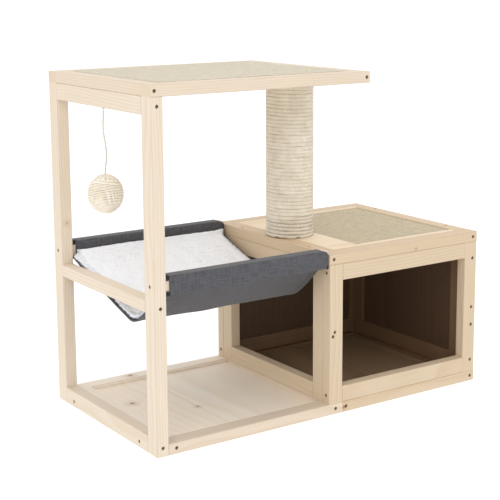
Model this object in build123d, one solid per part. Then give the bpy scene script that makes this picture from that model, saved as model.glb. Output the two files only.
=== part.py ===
from build123d import *
import math
import os

# A cat tree of screwed pine frames: a tall open side frame on the left, a low tray beside a
# box with a window, a doorway, a closed back and a closed right side, a rope-wound column on
# the box, a platform across the side frame and the column, a cloth hammock between the side
# frame and the box, and a ball on a cord under the platform.
# Millimetres. X runs to the right, Y to the back, Z up. While the pieces are made, X and Y
# start at the front left foot. The export moves them to the middle of the whole object.

# ---- overall sizes ----
depth = 370.0               # front to back
total_length = 715.0        # side frame's outer face to the box's right face
platform_length = 445.0
platform_top = 618.0        # top of the platform's frame
box_overlap = 87.0          # how far the platform reaches over the box
box_top = 298.0             # top of the box's frame

# ---- stock ----
batten_wide = 30.0
batten_thick = 20.0
post_wide = 32.0            # side frame's posts, front to back
post_thick = 22.0           # side frame's posts and rails, left to right
middle_rail_tall = 22.0
middle_rail_bottom = 242.0
edge_radius = 1.2           # rounding along each batten's four long edges
deck_board_thick = 16.0     # platform board and box top board
floor_board_thick = 9.0
floor_board_bottom = 5.0
panel_thick = 8.0
tongue_thick = 7.0          # edge of a deck board, held in its frame's groove
groove_depth = 6.0
groove_gap = 0.2            # clearance of a board in its groove, each side
board_gap = 0.3             # clearance round a deck board's thick part

# ---- mats ----
mat_thick = 6.0
platform_mat_proud = 2.0
top_mat_gap = 7.0           # platform's right end to the box top's mat
top_mat_margin = 12.0       # bare board between the frame and the box top's mat, front and back
top_mat_sunk = 0.5
mat_gap = 0.4
mat_corner_radius = 3.0

# ---- column ----
column_rail_gap = 3.5        # column's bolt head to the platform's right rail
column_y = depth / 2
tube_diameter = 76.0
tube_wall = 4.0
rope_diameter = 7.0
rope_gap = 0.3              # between the tube and its winding
rope_groove = 2.0           # how deep the valley between two turns is
plug_thick = 15.0
plug_gap = 0.3
bolt_diameter = 6.0
bolt_length = 32.0
bolt_head_diameter = 15.0
bolt_head_tall = 4.0
bolt_gap = 0.3

# ---- screws ----
screw_head_diameter = 6.2
screw_head_tall = 3.0
screw_sunk = 1.2            # from the wood's surface down to the head's top
screw_shank_diameter = 4.0
screw_length = 40.0         # head's top to tip
screw_tip = 4.0
screw_tip_diameter = 1.0
screw_gap = 0.2             # clearance of head and shank in their hole
recess_long = 3.8           # cross recess in a screw's head
recess_wide = 1.2
recess_deep = 1.4

# ---- hammock ----
slat_wide = batten_wide     # tall
slat_thick = batten_thick   # front to back
slat_inset = 15.2           # a slat's middle from the front or back face
slat_drop = 9.5             # slat's middle below the box's top
dowel_diameter = 6.0
dowel_length = 40.0
dowel_rise = 4.5            # dowel's middle above the box top's underside
dowel_gap = 0.2
cloth_thick = 1.6
cloth_gap = 0.4             # cloth to wood
cloth_end_gap = 0.6         # hammock's ends to the wood beside them
notch_long = 8.0            # the sleeve's cut-out that bares the slat's left end
notch_tall = 20.0
sag_low_y = 119.0           # lowest line of the hammock, from the front face
sag_depth = 87.5            # lowest line of the hammock, below the slats' middle
sag_front_power = 1.3       # 1 is straight, 2 is a parabola
sag_back_power = 1.05
sag_front_steps = 6
sag_back_steps = 9
sag_back_rise = 3.0         # the cloth leaves the back sleeve this much above its underside
lining_thick = 6.0
lining_gap = 0.5
lining_left_margin = 0.5    # lining's left end inside the cloth's end
lining_right_margin = 5.0
lining_foot = 7.0           # lining's front edge to the sleeve
lining_drop = 13.0          # lining's turned-up back edge below the back sleeve's top

# ---- toy ----
toy_y = 181.0
knot_diameter = 4.8
knot_drop = 2.6             # knot's middle below the rail that it hangs from
cord_diameter = 2.8
cord_gap = 0.3
cord_hole_diameter = 3.6
anchor_head_diameter = 7.0
anchor_head_tall = 4.0
ball_diameter = 66.0
ball_core_diameter = 52.0
ball_middle_z = 418.0
ball_gap = 0.3
ball_bore_diameter = 4.0
cord_end_in_ball = 6.0

# ---- worked out from the sizes above ----
box_left = platform_length - box_overlap
tray_right = box_left + batten_wide
top_mat_left = platform_length + top_mat_gap
wall_top = box_top - batten_thick
platform_bottom = platform_top - batten_thick
post_middle_x = post_thick / 2
bolt_room = bolt_head_diameter / 2 + column_rail_gap
column_x = platform_length - batten_wide - bolt_room
back = depth
rope_outer_radius = tube_diameter / 2 + rope_gap + rope_diameter
ball_radius = ball_diameter / 2
left_reach = post_middle_x - ball_radius
middle_x = (left_reach + total_length) / 2
pivot_z = platform_bottom - batten_wide - knot_drop

nodes = {}
screws = []


def block(x, y, z):
    """A box from three (low, high) pairs."""
    size = [pair[1] - pair[0] for pair in (x, y, z)]
    return Pos(x[0], y[0], z[0]) * Box(*size, align=(Align.MIN, Align.MIN, Align.MIN))


def batten(x, y, z):
    """A straight batten: a box with its four long edges rounded."""
    spans = {Axis.X: x[1] - x[0], Axis.Y: y[1] - y[0], Axis.Z: z[1] - z[0]}
    long_axis = max(spans, key=spans.get)
    wood = block(x, y, z)
    return fillet(wood.edges().filter_by(long_axis), edge_radius)


def screw_turned(point, direction):
    """The place of a screw whose +Z runs from its head to its tip."""
    return Plane(origin=point, z_dir=direction).location


def add_screw(point, direction):
    screws.append((Vector(*point), Vector(*direction)))


def screw_hole(point, direction):
    """Counterbore and shank hole, from the wood's surface inwards."""
    head_radius = screw_head_diameter / 2 + screw_gap
    shank_radius = screw_shank_diameter / 2 + screw_gap
    head_end = screw_sunk + screw_head_tall + screw_gap
    low = (Align.CENTER, Align.CENTER, Align.MIN)
    hole = Cylinder(head_radius, head_end, align=low)
    hole += Cylinder(shank_radius, screw_sunk + screw_length + 1, align=low)
    return screw_turned(point, direction) * hole


def screw_solid(point, direction):
    """A pan-head wood screw with a cross recess and a pointed tip."""
    low = (Align.CENTER, Align.CENTER, Align.MIN)
    shank_end = screw_length - screw_tip
    shape = Cylinder(screw_head_diameter / 2, screw_head_tall, align=low)
    shape += Cylinder(screw_shank_diameter / 2, shank_end, align=low)
    tip = Cone(screw_shank_diameter / 2, screw_tip_diameter / 2, screw_tip, align=low)
    shape += Pos(0, 0, shank_end) * tip
    slot = Box(recess_long, recess_wide, recess_deep, align=low)
    shape -= slot
    shape -= Rot(0, 0, 90) * slot
    return screw_turned(point, direction) * (Pos(0, 0, screw_sunk) * shape)


def frame_groove(x, y, z, tongue, thin):
    """The slot for a board that fills the opening x, y, z and is thin along one axis."""
    grown = []
    for axis, pair in enumerate((x, y, z)):
        if axis == thin:
            grown.append((tongue[0] - groove_gap, tongue[1] + groove_gap))
        else:
            grown.append((pair[0] - groove_depth, pair[1] + groove_depth))
    return block(*grown)


def tongue_slab(x, y, z, tongue, thin):
    """The part of a board that reaches into its groove."""
    reach = groove_depth - groove_gap
    grown = []
    for axis, pair in enumerate((x, y, z)):
        if axis == thin:
            grown.append(tongue)
        else:
            grown.append((pair[0] - reach, pair[1] + reach))
    return block(*grown)


def deck_board(x, y, z, tongue):
    """A thick board between a frame's rails, with a tongue all round."""
    middle = block(
        (x[0] + board_gap, x[1] - board_gap),
        (y[0] + board_gap, y[1] - board_gap),
        z,
    )
    return middle + tongue_slab(x, y, z, tongue, 2)


def flat_frame(prefix, x, z, groove=None):
    """Four battens laid flat: front and back rails run the full length."""
    inner_y = (batten_wide, depth - batten_wide)
    rails = {
        "front_rail": batten(x, (0, batten_wide), z),
        "back_rail": batten(x, (depth - batten_wide, depth), z),
        "left_rail": batten((x[0], x[0] + batten_wide), inner_y, z),
        "right_rail": batten((x[1] - batten_wide, x[1]), inner_y, z),
    }
    for name, rail in rails.items():
        nodes[f"{prefix}_{name}"] = rail - groove if groove else rail


def frame_opening(x):
    """The opening of a flat frame, in X and in Y."""
    return (x[0] + batten_wide, x[1] - batten_wide), (batten_wide, depth - batten_wide)


def upright_frame_x(prefix, x, y, z):
    """An upright frame across the front or the back: stiles at its ends, rails between."""
    rail_x = (x[0] + batten_wide, x[1] - batten_wide)
    nodes[f"{prefix}_left_stile"] = batten((x[0], x[0] + batten_wide), y, z)
    nodes[f"{prefix}_right_stile"] = batten((x[1] - batten_wide, x[1]), y, z)
    nodes[f"{prefix}_bottom_rail"] = batten(rail_x, y, (z[0], z[0] + batten_wide))
    nodes[f"{prefix}_top_rail"] = batten(rail_x, y, (z[1] - batten_wide, z[1]))
    middle_y = (y[0] + y[1]) / 2
    for rail_z in (z[0] + batten_wide / 2, z[1] - batten_wide / 2):
        add_screw((x[0], middle_y, rail_z), (1, 0, 0))
        add_screw((x[1], middle_y, rail_z), (-1, 0, 0))


def upright_frame_y(prefix, x, y, z):
    """An upright frame from front to back: stiles at its ends, rails between."""
    rail_y = (y[0] + batten_wide, y[1] - batten_wide)
    nodes[f"{prefix}_front_stile"] = batten(x, (y[0], y[0] + batten_wide), z)
    nodes[f"{prefix}_back_stile"] = batten(x, (y[1] - batten_wide, y[1]), z)
    nodes[f"{prefix}_bottom_rail"] = batten(x, rail_y, (z[0], z[0] + batten_wide))
    nodes[f"{prefix}_top_rail"] = batten(x, rail_y, (z[1] - batten_wide, z[1]))
    middle = (x[0] + x[1]) / 2
    for rail_z in (z[0] + batten_wide / 2, z[1] - batten_wide / 2):
        add_screw((middle, y[0], rail_z), (0, 1, 0))
        add_screw((middle, y[1], rail_z), (0, -1, 0))


# ---- the tall side frame on the left ----
side_x = (0, post_thick)
between_posts = (post_wide, depth - post_wide)
top_rail_z = (platform_bottom - batten_wide, platform_bottom)
middle_rail_z = (middle_rail_bottom, middle_rail_bottom + middle_rail_tall)
bottom_rail_z = (0, batten_wide)
nodes["left_front_post"] = batten(side_x, (0, post_wide), (0, platform_bottom))
nodes["left_back_post"] = batten(side_x, (depth - post_wide, depth), (0, platform_bottom))
nodes["left_top_rail"] = batten(side_x, between_posts, top_rail_z)
nodes["left_middle_rail"] = batten(side_x, between_posts, middle_rail_z)
nodes["left_bottom_rail"] = batten(side_x, between_posts, bottom_rail_z)
for rail_z in (top_rail_z, middle_rail_z, bottom_rail_z):
    add_screw((post_middle_x, 0, sum(rail_z) / 2), (0, 1, 0))
    add_screw((post_middle_x, back, sum(rail_z) / 2), (0, -1, 0))

# ---- the tray's and the box's floors ----
floor_z = (0, batten_thick)
floor_board_z = (floor_board_bottom, floor_board_bottom + floor_board_thick)
tray_x = (post_thick, tray_right)
base_x = (tray_right, total_length)
tray_screw_inset = 15.0
base_screw_inset = 9.0
for prefix, span, inset in (
    ("tray", tray_x, tray_screw_inset),
    ("base", base_x, base_screw_inset),
):
    hole_x, hole_y = frame_opening(span)
    flat_frame(prefix, span, floor_z, frame_groove(hole_x, hole_y, floor_z, floor_board_z, 2))
    nodes[f"{prefix}_floor"] = tongue_slab(hole_x, hole_y, floor_z, floor_board_z, 2)
    for screw_x in (span[0] + inset, span[1] - inset):
        add_screw((screw_x, 0, batten_thick / 2), (0, 1, 0))
        add_screw((screw_x, back, batten_thick / 2), (0, -1, 0))
side_screw_inset = 62.0
for screw_y in (side_screw_inset, depth - side_screw_inset):
    add_screw((0, screw_y, batten_thick / 2), (1, 0, 0))

# ---- the box: window in front, doorway on the left, closed back and right side ----
wall_z = (batten_thick, wall_top)
box_x = (box_left, total_length)
front_y = (0, batten_thick)
back_y = (depth - batten_thick, depth)
between_walls = (batten_thick, depth - batten_thick)
doorway_x = (box_left, box_left + batten_thick)
right_x = (total_length - batten_thick, total_length)
upright_frame_x("window", box_x, front_y, wall_z)
upright_frame_x("back", box_x, back_y, wall_z)
upright_frame_y("doorway", doorway_x, between_walls, wall_z)
upright_frame_y("side", right_x, between_walls, wall_z)

panel_z = (wall_z[0] + batten_wide, wall_z[1] - batten_wide)
panel_inset = (batten_thick - panel_thick) / 2
back_panel_x = (box_x[0] + batten_wide, box_x[1] - batten_wide)
back_panel_y = (back_y[0] + panel_inset, back_y[1] - panel_inset)
side_panel_y = (between_walls[0] + batten_wide, between_walls[1] - batten_wide)
side_panel_x = (right_x[0] + panel_inset, right_x[1] - panel_inset)
nodes["back_panel"] = tongue_slab(back_panel_x, back_y, panel_z, back_panel_y, 1)
nodes["side_panel"] = tongue_slab(right_x, side_panel_y, panel_z, side_panel_x, 0)
back_groove = frame_groove(back_panel_x, back_y, panel_z, back_panel_y, 1)
side_groove = frame_groove(right_x, side_panel_y, panel_z, side_panel_x, 0)
for name in ("left_stile", "right_stile", "bottom_rail", "top_rail"):
    nodes[f"back_{name}"] -= back_groove
for name in ("front_stile", "back_stile", "bottom_rail", "top_rail"):
    nodes[f"side_{name}"] -= side_groove

# Screws through the window's and the back's stiles into the doorway's and the side's stiles.
doorway_middle = sum(doorway_x) / 2
right_middle = sum(right_x) / 2
wall_screw_heights = (60.0, 150.0, 238.0)
right_front_heights = (43.0, 114.0, 149.0, 246.0)
twin_screw_offset_x = 2.0
twin_screw_offset_z = 3.8
for height in wall_screw_heights:
    add_screw((doorway_middle, back, height), (0, -1, 0))
    add_screw((right_middle, back, height), (0, -1, 0))
for height in right_front_heights:
    add_screw((right_middle, 0, height), (0, 1, 0))
for side in (-1, 1):
    twin_x = doorway_middle + side * twin_screw_offset_x
    twin_z = wall_screw_heights[1] + side * twin_screw_offset_z
    add_screw((twin_x, 0, twin_z), (0, 1, 0))

# Screws from below, through the floors into the walls.
end_screw_inset = 80.0
wall_screw_inset = 98.0
for screw_y in (end_screw_inset, depth - end_screw_inset):
    add_screw((doorway_middle, screw_y, 0), (0, 0, 1))
    add_screw((right_middle, screw_y, 0), (0, 0, 1))
for screw_x in (base_x[0] + wall_screw_inset, base_x[1] - wall_screw_inset):
    for screw_y in (batten_thick / 2, depth - batten_thick / 2):
        add_screw((screw_x, screw_y, 0), (0, 0, 1))

# ---- the box top ----
top_z = (wall_top, box_top)
deck_tongue_rise = 4.0
top_tongue = (wall_top + deck_tongue_rise, wall_top + deck_tongue_rise + tongue_thick)
top_opening_x, top_opening_y = frame_opening(box_x)
top_screw_inset = 9.5
flat_frame("top", box_x, top_z, frame_groove(top_opening_x, top_opening_y, top_z, top_tongue, 2))
top_mat_x = (top_mat_left, top_opening_x[1] - mat_gap)
top_mat_y = (top_opening_y[0] + top_mat_margin, top_opening_y[1] - top_mat_margin)
top_mat_z = (box_top - top_mat_sunk - mat_thick, box_top - top_mat_sunk)
top_board_z = (box_top - deck_board_thick, box_top)
top_board = deck_board(top_opening_x, top_opening_y, top_board_z, top_tongue)
top_board -= block(
    (top_mat_x[0] - mat_gap, top_mat_x[1] + mat_gap),
    (top_mat_y[0] - mat_gap, top_mat_y[1] + mat_gap),
    (top_mat_z[0], box_top + 1),
)
nodes["top_board"] = top_board
nodes["top_mat"] = block(top_mat_x, top_mat_y, top_mat_z)
for screw_x in (box_x[0] + top_screw_inset, box_x[1] - top_screw_inset):
    add_screw((screw_x, 0, sum(top_z) / 2), (0, 1, 0))
    add_screw((screw_x, back, sum(top_z) / 2), (0, -1, 0))
top_down_inset = 76.0
for screw_y in (top_down_inset, depth - top_down_inset):
    add_screw((doorway_middle, screw_y, box_top), (0, 0, -1))
    add_screw((right_middle, screw_y, box_top), (0, 0, -1))

# ---- the platform ----
platform_x = (0, platform_length)
platform_z = (platform_bottom, platform_top)
platform_opening_x, platform_opening_y = frame_opening(platform_x)
platform_tongue = (
    platform_bottom + deck_tongue_rise,
    platform_bottom + deck_tongue_rise + tongue_thick,
)
platform_groove = frame_groove(
    platform_opening_x, platform_opening_y, platform_z, platform_tongue, 2
)
platform_screw_inset = 7.0
platform_mat_z = (
    platform_top + platform_mat_proud - mat_thick,
    platform_top + platform_mat_proud,
)
platform_board_z = (platform_bottom, platform_mat_z[0])
flat_frame("platform", platform_x, platform_z, platform_groove)
nodes["platform_board"] = deck_board(
    platform_opening_x, platform_opening_y, platform_board_z, platform_tongue
)
nodes["platform_mat"] = block(
    (platform_opening_x[0] + mat_gap, platform_opening_x[1] - mat_gap),
    (platform_opening_y[0] + mat_gap, platform_opening_y[1] - mat_gap),
    platform_mat_z,
)
for screw_x in (platform_screw_inset, platform_length - platform_screw_inset):
    add_screw((screw_x, 0, sum(platform_z) / 2), (0, 1, 0))
    add_screw((screw_x, back, sum(platform_z) / 2), (0, -1, 0))
for screw_y in (end_screw_inset, depth - end_screw_inset):
    add_screw((post_middle_x, screw_y, top_rail_z[0]), (0, 0, 1))
for name in ("top_mat", "platform_mat"):
    nodes[name] = fillet(nodes[name].edges().filter_by(Axis.Z), mat_corner_radius)

# ---- the column ----
column_place = Pos(column_x, column_y, 0)
column_tall = platform_bottom - box_top
low = (Align.CENTER, Align.CENTER, Align.MIN)
high = (Align.CENTER, Align.CENTER, Align.MAX)
tube_radius = tube_diameter / 2
tube = Cylinder(tube_radius, column_tall, align=low)
tube -= Cylinder(tube_radius - tube_wall, column_tall, align=low)
nodes["column_tube"] = column_place * Pos(0, 0, box_top) * tube

rope_turns = round(column_tall / rope_diameter)
rope_pitch = column_tall / rope_turns
rope_inner_radius = tube_radius + rope_gap
valley_radius = rope_outer_radius - rope_groove
outline = [
    Line((rope_inner_radius, 0), (valley_radius, 0)),
    Line((rope_inner_radius, column_tall), (rope_inner_radius, 0)),
    Line((valley_radius, column_tall), (rope_inner_radius, column_tall)),
]
for turn in range(rope_turns):
    turn_low = turn * rope_pitch
    outline.append(
        ThreePointArc(
            (valley_radius, turn_low),
            (rope_outer_radius, turn_low + rope_pitch / 2),
            (valley_radius, turn_low + rope_pitch),
        )
    )
rope_section = Plane.XZ * make_face(outline)
nodes["column_rope"] = column_place * Pos(0, 0, box_top) * revolve(rope_section, Axis.Z)

plug = Cylinder(tube_radius - tube_wall - plug_gap, plug_thick, align=low)
plug -= Cylinder(bolt_diameter / 2 + bolt_gap, plug_thick, align=low)
nodes["column_plugs"] = Compound(
    children=[
        column_place * Pos(0, 0, box_top) * plug,
        column_place * Pos(0, 0, platform_bottom - plug_thick) * plug,
    ]
)

# One bolt runs down through the platform board, one up through the box top board.
bolt = Cylinder(bolt_head_diameter / 2, bolt_head_tall, align=low)
bolt += Cylinder(bolt_diameter / 2, bolt_length, align=low)
bolt_recess = Cylinder(bolt_head_diameter / 2 + bolt_gap, bolt_head_tall + bolt_gap, align=low)
bolt_recess += Cylinder(bolt_diameter / 2 + bolt_gap, bolt_length, align=low)
upper_bolt_place = column_place * Pos(0, 0, platform_board_z[1]) * Rot(180, 0, 0)
lower_bolt_place = column_place * Pos(0, 0, top_board_z[0])
nodes["column_bolts"] = Compound(children=[upper_bolt_place * bolt, lower_bolt_place * bolt])
nodes["platform_board"] -= upper_bolt_place * bolt_recess
nodes["top_board"] -= lower_bolt_place * bolt_recess

# ---- the hammock ----
slat_x = (post_thick, box_left)
slat_middle_z = box_top - slat_drop
sag_low_z = slat_middle_z - sag_depth
slat_z = (slat_middle_z - slat_wide / 2, slat_middle_z + slat_wide / 2)
cloth_x = (post_thick + cloth_end_gap, box_left - cloth_end_gap)
sleeve_inner = (slat_thick + 2 * cloth_gap, slat_wide + 2 * cloth_gap)
sleeve_outer = (sleeve_inner[0] + 2 * cloth_thick, sleeve_inner[1] + 2 * cloth_thick)
sleeve_bottom = slat_middle_z - sleeve_outer[1] / 2
notch_z = (slat_middle_z - notch_tall / 2, slat_middle_z + notch_tall / 2)


def centred(middle, size):
    return middle - size / 2, middle + size / 2


def sleeve(middle_y):
    """A cloth sleeve round a slat, with a notch that bares the slat's left end."""
    outside = block(
        cloth_x,
        centred(middle_y, sleeve_outer[0]),
        centred(slat_middle_z, sleeve_outer[1]),
    )
    inside = block(
        (cloth_x[0] - 1, cloth_x[1] + 1),
        centred(middle_y, sleeve_inner[0]),
        centred(slat_middle_z, sleeve_inner[1]),
    )
    notch_y = (middle_y - sleeve_outer[0], middle_y)
    notch = block((cloth_x[0] - 1, cloth_x[0] + notch_long), notch_y, notch_z)
    return outside - inside - notch


slat_middles = (slat_inset, depth - slat_inset)
sleeve_reach = sleeve_outer[0] / 2 - cloth_thick / 2
sag_front_y = slat_middles[0] + sleeve_reach
sag_back_y = slat_middles[1] - sleeve_reach
sag_front_z = sleeve_bottom + cloth_thick / 2
sag_back_z = sag_front_z + sag_back_rise


def sag_height(y):
    """Height of the cloth's middle at y."""
    if y < sag_low_y:
        share = (sag_low_y - y) / (sag_low_y - sag_front_y)
        return sag_low_z + (sag_front_z - sag_low_z) * share**sag_front_power
    share = (y - sag_low_y) / (sag_back_y - sag_low_y)
    return sag_low_z + (sag_back_z - sag_low_z) * share**sag_back_power


def steps_between(start, end, count):
    return [start + (end - start) * step / count for step in range(count)]


def hanging_strip(stations, below, above, x):
    """A strip along the sag, from a drop below it to a rise above it."""
    lower = [(y, sag_height(y) - below) for y in stations]
    upper = [(y, sag_height(y) + above) for y in reversed(stations)]
    section = Plane.YZ * make_face(Polyline(*lower, *upper, close=True))
    return Pos(x[0], 0, 0) * extrude(section, x[1] - x[0])


half_cloth = cloth_thick / 2
sag_stations = steps_between(sag_front_y, sag_low_y, sag_front_steps)
sag_stations += steps_between(sag_low_y, sag_back_y, sag_back_steps)
sag_stations.append(sag_back_y)
sling = hanging_strip(sag_stations, half_cloth, half_cloth, cloth_x)
for middle_y in slat_middles:
    sling += sleeve(middle_y)
nodes["hammock_sling"] = sling
lining_x = (cloth_x[0] + lining_left_margin, cloth_x[1] - lining_right_margin)
lining_low = half_cloth + lining_gap
lining_back_y = slat_middles[1] - sleeve_outer[0] / 2 - lining_gap
lining_bend_y = lining_back_y - lining_thick
lining_stations = [y for y in sag_stations if sag_front_y + lining_foot < y < lining_bend_y]
lining_stations += [lining_bend_y, lining_back_y]
lining = hanging_strip(lining_stations, -lining_low, lining_low + lining_thick, lining_x)
lining_turn_z = (
    sag_height(lining_bend_y) + lining_low + lining_thick / 2,
    slat_middle_z + sleeve_outer[1] / 2 - lining_drop,
)
lining += block(lining_x, (lining_bend_y, lining_back_y), lining_turn_z)
nodes["hammock_lining"] = lining

# Each slat is screwed through its post on the left and doweled into the box top on the right.
dowel = Cylinder(dowel_diameter / 2, dowel_length)
dowel_hole = Cylinder(dowel_diameter / 2 + dowel_gap, dowel_length + 2 * dowel_gap)
dowels = []
for name, middle_y in zip(("front", "back"), slat_middles):
    add_screw((0, middle_y, slat_middle_z), (1, 0, 0))
    dowel_place = Pos(box_left, middle_y, wall_top + dowel_rise) * Rot(0, 90, 0)
    slat = batten(slat_x, centred(middle_y, slat_thick), slat_z)
    nodes[f"hammock_{name}_slat"] = slat - dowel_place * dowel_hole
    nodes[f"top_{name}_rail"] -= dowel_place * dowel_hole
    dowels.append(dowel_place * dowel)
nodes["hammock_dowels"] = Compound(children=dowels)

# ---- the toy: a knot under the side frame's top rail, a cord, and a ball wound with sisal ----
toy_place = Pos(post_middle_x, toy_y, 0)
anchor_hole = Cylinder(cord_hole_diameter / 2, batten_wide + 2, align=low)
anchor_hole = Pos(0, 0, top_rail_z[0] - 1) * anchor_hole
anchor_pocket = Cylinder(anchor_head_diameter / 2 + cord_gap, anchor_head_tall + 1, align=high)
anchor_pocket = Pos(0, 0, top_rail_z[1] + cord_gap) * anchor_pocket
nodes["left_top_rail"] -= toy_place * (anchor_hole + anchor_pocket)
anchor_low = top_rail_z[0]
anchor_high = top_rail_z[1] - cord_gap
anchor = Cylinder(cord_diameter / 2, anchor_high - anchor_low, align=low)
anchor = Pos(0, 0, anchor_low) * anchor
anchor_head = Cylinder(anchor_head_diameter / 2, anchor_head_tall, align=high)
nodes["toy_anchor"] = toy_place * (anchor + Pos(0, 0, anchor_high) * anchor_head)
nodes["toy_knot"] = toy_place * Pos(0, 0, pivot_z) * Sphere(knot_diameter / 2)

# The cord's route: X and Y from the toy's middle, and the drop from the pivot.
cord_drop = pivot_z - ball_middle_z - ball_radius
cord_route = [
    (0.0, 0.0, knot_diameter / 2 + cord_gap),
    (0.3, 1.6, 13.0),
    (0.8, 5.2, 26.0),
    (0.2, 3.4, 42.0),
    (-0.8, -4.6, 58.0),
    (-0.9, -8.6, 74.0),
    (-0.2, -5.6, 90.0),
    (0.0, -1.2, 103.0),
    (0.0, 0.0, cord_drop + cord_end_in_ball),
]
cord_points = [
    Vector(post_middle_x + x, toy_y + y, pivot_z - drop) for x, y, drop in cord_route
]
cord_radii = []
for before, point, after in zip(cord_points, cord_points[1:], cord_points[2:]):
    run_in = point - before
    run_out = after - point
    turn = math.radians(run_in.get_angle(run_out))
    cord_radii.append(0.45 * min(run_in.length, run_out.length) / math.tan(turn / 2))
cord_path = FilletPolyline(*cord_points, radius=cord_radii)
cord_start = Plane(origin=cord_path @ 0, z_dir=cord_path % 0)
cord = sweep(cord_start * Circle(cord_diameter / 2), path=cord_path)
nodes["toy_cord"] = cord
print("cord radii", [round(radius, 1) for radius in cord_radii])
print("cord length", round(cord_path.length, 1))
print("cord volume", round(cord.volume, 2))
print("section times length", round(math.pi * cord_diameter**2 / 4 * cord_path.length, 2))

ball_place = toy_place * Pos(0, 0, ball_middle_z)
bore = Cylinder(ball_bore_diameter / 2, ball_radius + 1, align=low)
core_radius = ball_core_diameter / 2
nodes["toy_ball_core"] = ball_place * Sphere(core_radius)
wrap = Sphere(ball_radius) - Sphere(core_radius + ball_gap) - bore
nodes["toy_ball_wrap"] = ball_place * wrap

# ---- screws: every piece is drilled for each screw that reaches it ----
drilled = [
    name
    for name in nodes
    if name.endswith(("_post", "_rail", "_stile", "_slat"))
]
holes = [screw_hole(point, direction) for point, direction in screws]
hole_boxes = [hole.bounding_box() for hole in holes]


def boxes_meet(one, other):
    return all(
        getattr(one.min, axis) < getattr(other.max, axis)
        and getattr(other.min, axis) < getattr(one.max, axis)
        for axis in "XYZ"
    )


for name in drilled:
    wood_box = nodes[name].bounding_box()
    for hole, hole_box in zip(holes, hole_boxes):
        if boxes_meet(wood_box, hole_box):
            nodes[name] -= hole
nodes["frame_screws"] = Compound(
    children=[screw_solid(point, direction) for point, direction in screws]
)

# ---- write one file per node, with the origin under the middle of the whole object ----
os.makedirs("parts", exist_ok=True)
to_middle = Pos(-middle_x, -depth / 2, 0)
for name, shape in nodes.items():
    export_step(to_middle * shape, f"parts/{name}.step")
print(len(nodes), "nodes", len(screws), "screws", "middle at x", middle_x)
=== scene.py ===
import functools
import math
import random

import bmesh
import bpy
from mathutils import Matrix, Vector, noise


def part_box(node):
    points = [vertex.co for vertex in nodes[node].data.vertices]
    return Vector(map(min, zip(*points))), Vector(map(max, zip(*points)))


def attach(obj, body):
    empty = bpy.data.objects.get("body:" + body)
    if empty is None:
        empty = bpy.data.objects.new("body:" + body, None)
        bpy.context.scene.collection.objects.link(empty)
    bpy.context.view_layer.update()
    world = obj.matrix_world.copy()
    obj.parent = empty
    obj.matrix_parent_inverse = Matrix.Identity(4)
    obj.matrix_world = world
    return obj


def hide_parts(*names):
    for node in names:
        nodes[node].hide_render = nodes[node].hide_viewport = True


# The looks of a pine cat tree: bare pine frames and boards, a rope-wound column, woven sisal
# mats, a grey canvas hammock with a white plush lining, and a ball wound with sisal yarn.
# Metres. X runs to the right, Y to the back, Z up.

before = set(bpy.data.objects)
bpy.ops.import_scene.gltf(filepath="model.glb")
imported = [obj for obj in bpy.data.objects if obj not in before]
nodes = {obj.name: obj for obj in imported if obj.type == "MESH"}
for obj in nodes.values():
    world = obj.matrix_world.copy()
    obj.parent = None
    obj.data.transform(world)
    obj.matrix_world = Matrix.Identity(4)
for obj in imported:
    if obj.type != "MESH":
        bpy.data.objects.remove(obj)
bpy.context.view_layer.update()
scene = bpy.context.scene
MM = 0.001
FULL_TURN = 2 * math.pi


def srgb(red, green, blue):
    """A colour given as on a paint card, 0 to 255, as linear red, green, blue, alpha."""
    linear = []
    for value in (red, green, blue):
        share = value / 255
        linear.append(share / 12.92 if share <= 0.04045 else ((share + 0.055) / 1.055) ** 2.4)
    return (*linear, 1.0)


def add_object(name, data):
    """A new object of that data, linked to the scene."""
    made = bpy.data.objects.new(name, data)
    scene.collection.objects.link(made)
    return made

# ---- camera

camera_data = bpy.data.cameras.new("camera")
camera_data.sensor_width = 36.0
camera_data.lens = 90.72
camera_data.shift_y = -0.1
camera = add_object("camera", camera_data)
scene.camera = camera
camera_place = (-1.3262, -1.9078, 0.7903)
camera_heading = math.radians(34.12)
camera_tilt = math.radians(-10.23)
camera_roll = math.radians(-0.34)
looking = Vector((
    math.sin(camera_heading) * math.cos(camera_tilt),
    math.cos(camera_heading) * math.cos(camera_tilt),
    math.sin(camera_tilt),
))
camera.matrix_world = (
    Matrix.Translation(camera_place)
    @ looking.to_track_quat("-Z", "Y").to_matrix().to_4x4()
    @ Matrix.Rotation(camera_roll, 4, "Z")
)

# ---- places, from the frame

tree_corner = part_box("left_front_post")[0]
rope_low, rope_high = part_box("column_rope")
knot_low, knot_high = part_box("toy_knot")
ball_low, ball_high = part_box("toy_ball_wrap")
front_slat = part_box("hammock_front_slat")
back_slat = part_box("hammock_back_slat")
sling_low, sling_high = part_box("hammock_sling")
lining_low, lining_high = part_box("hammock_lining")
knot_middle = (knot_low + knot_high) / 2
ball_middle = (ball_low + ball_high) / 2
column_middle = (rope_low + rope_high) / 2
column_radius = (rope_high.x - rope_low.x) / 2

# ---- shared helpers


def held(share):
    """A share kept between nothing and all."""
    return min(1.0, max(0.0, share))


def even(start, end, count):
    """Evenly spaced values from start to end, one more than count."""
    return [start + (end - start) * step / count for step in range(count + 1)]


def waver(x, y, z):
    """Smooth noise, from about -1 to 1."""
    return noise.noise(Vector((x, y, z)))


def make_active(piece):
    bpy.ops.object.select_all(action="DESELECT")
    piece.select_set(True)
    bpy.context.view_layer.objects.active = piece


def apply_modifiers(piece):
    make_active(piece)
    for modifier in list(piece.modifiers):
        bpy.ops.object.modifier_apply(modifier=modifier.name)


def smooth(piece, angle):
    make_active(piece)
    bpy.ops.object.shade_smooth_by_angle(angle=math.radians(angle))


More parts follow.
